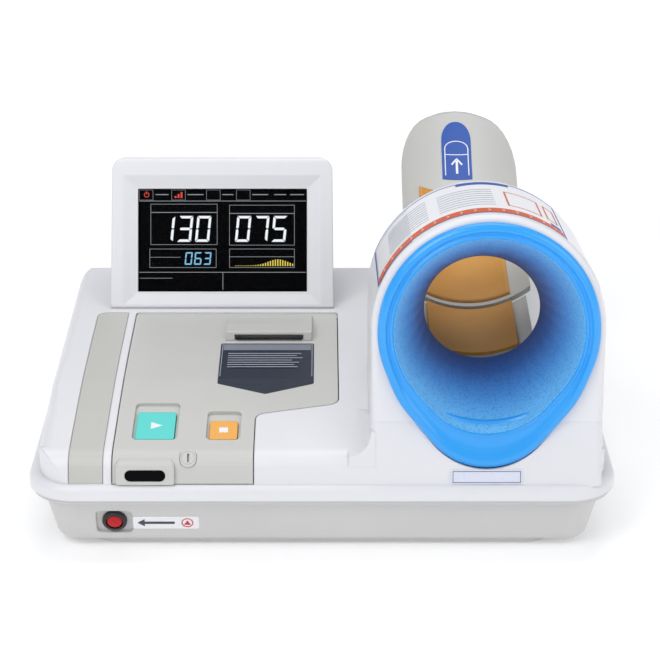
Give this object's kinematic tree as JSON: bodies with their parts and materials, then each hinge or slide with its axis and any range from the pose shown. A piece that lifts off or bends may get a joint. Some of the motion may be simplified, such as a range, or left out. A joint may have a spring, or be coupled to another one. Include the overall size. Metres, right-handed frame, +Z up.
{
  "type": "arm-in blood pressure monitor",
  "caption": "Desk blood pressure monitor with a tunnel cuff for the arm, curved forearm rest, tilted display, printer under a locking cover, start and stop keys and a red emergency button.",
  "frame": {"origin": "on the desk, under the middle of the object's overall box", "axes": "+X to the right of the user who faces it (along its longest side), +Y to the back, +Z up (its shortest side)"},
  "size_m": [0.48, 0.439, 0.2826],
  "materials": {
    "shell": "fine moulded texture",
    "tub": "fine moulded texture",
    "panel": "fine moulded texture",
    "strip": "satin",
    "rest": "satin",
    "ring_blue": "smooth semi-gloss",
    "lining": "woven",
    "bladder": "matte",
    "drum": "matte",
    "amber": "soft foam skin",
    "teal": "satin",
    "orange": "satin",
    "signal_red": "gloss",
    "black": "satin",
    "gloss_black": "gloss",
    "cream": "satin",
    "navy": "printed film",
    "label": "printed film",
    "label_blue": "printed film",
    "pale_plate": "satin",
    "paper": "smooth paper",
    "steel": "brushed",
    "motor": "satin",
    "aluminium": "brushed",
    "brass": "turned",
    "rubber": "matte",
    "board": "solder mask",
    "glass": "clear, dark tint"
  },
  "bodies": {
    "base": {"lower_case": "tub", "rubber_feet": "rubber", "case_screws": "steel", "upper_case": "shell", "strip_inlay": "strip", "badge_plate": "pale_plate", "cover_hinge_pins": "steel", "lock_keeper": "steel", "printer_tray": "tub", "printer_frame": "black", "print_head": "steel", "printer_motor": "motor", "display_front": "shell", "display_back": "shell", "lcd_panel": "gloss_black", "cover_glass": "glass", "display_board": "board", "inlet_ring": "ring_blue", "cuff_lining": "lining", "cuff_bladder": "bladder", "cuff_drum": "drum", "tower_rear_cover": "shell", "arch_label": "label", "elbow_trough": "rest", "elbow_pad": "amber", "forearm_plate": "rest", "forearm_pad": "amber", "armrest_support": "rest", "direction_label": "label_blue", "emergency_bezel": "black", "emergency_switch": "black", "front_sticker": "label", "mains_inlet": "black", "rocker_frame": "black", "power_supply": "aluminium", "main_board": "board", "air_pump": "motor", "exhaust_valve": "cream", "air_hose": "bladder"},
    "cover": {"cover_panel": "panel", "printer_hood": "panel", "tear_bar": "steel", "notice_plate": "navy", "sensor_window": "gloss_black", "lock_escutcheon": "panel", "key_board": "board", "key_switches": "black"},
    "lock": {"lock_barrel": "panel", "lock_cam": "steel"},
    "start_key": {"start_key": "teal"},
    "stop_key": {"stop_key": "orange"},
    "emergency_button": {"emergency_button": "signal_red"},
    "platen": {"platen_roller": "rubber", "platen_gear": "cream"},
    "pinion": {"motor_pinion": "brass"},
    "roll": {"paper_roll": "paper", "paper_spindle": "black"},
    "rocker": {"power_rocker": "gloss_black"}
  },
  "joints": [
    {"name": "cover_hinge", "type": "hinge", "parent": "base", "child": "cover", "pos_m": [-0.1, 0.04403, 0.10408], "axis": [-1, 0, 0], "range_deg": [0, 75]},
    {"name": "lock_turn", "type": "hinge", "parent": "cover", "child": "lock", "pos_m": [-0.1079, -0.20427, 0.0852], "axis": [0, -0.6428, 0.766], "range_deg": [0, 90]},
    {"name": "start_press", "type": "slide", "parent": "cover", "child": "start_key", "axis": [0, 0.1385, -0.9904], "range_m": [0, 0.002], "stiffness_N_per_m": 600, "springref_m": -0.001},
    {"name": "stop_press", "type": "slide", "parent": "cover", "child": "stop_key", "axis": [0, 0.1385, -0.9904], "range_m": [0, 0.002], "stiffness_N_per_m": 600, "springref_m": -0.001},
    {"name": "emergency_press", "type": "slide", "parent": "base", "child": "emergency_button", "axis": [0, 0.9659, 0.2588], "range_m": [0, 0.003], "stiffness_N_per_m": 700, "springref_m": -0.001},
    {"name": "platen_turn", "type": "hinge", "parent": "base", "child": "platen", "pos_m": [-0.04705, -0.00347, 0.09192], "axis": [1, 0, 0], "continuous": true},
    {"name": "pinion_turn", "type": "hinge", "parent": "base", "child": "pinion", "pos_m": [-0.04705, -0.00347, 0.07992], "axis": [1, 0, 0], "continuous": true},
    {"name": "roll_turn", "type": "hinge", "parent": "base", "child": "roll", "pos_m": [-0.04705, -0.06947, 0.07229], "axis": [1, 0, 0], "continuous": true},
    {"name": "rocker_tilt", "type": "hinge", "parent": "base", "child": "rocker", "pos_m": [-0.13, 0.14753, 0.029], "axis": [1, 0, 0], "range_deg": [0, 14]}
  ],
  "couplings": [
    {"joint": "pinion_turn", "follows": "platen_turn", "ratio": -2}
  ]
}
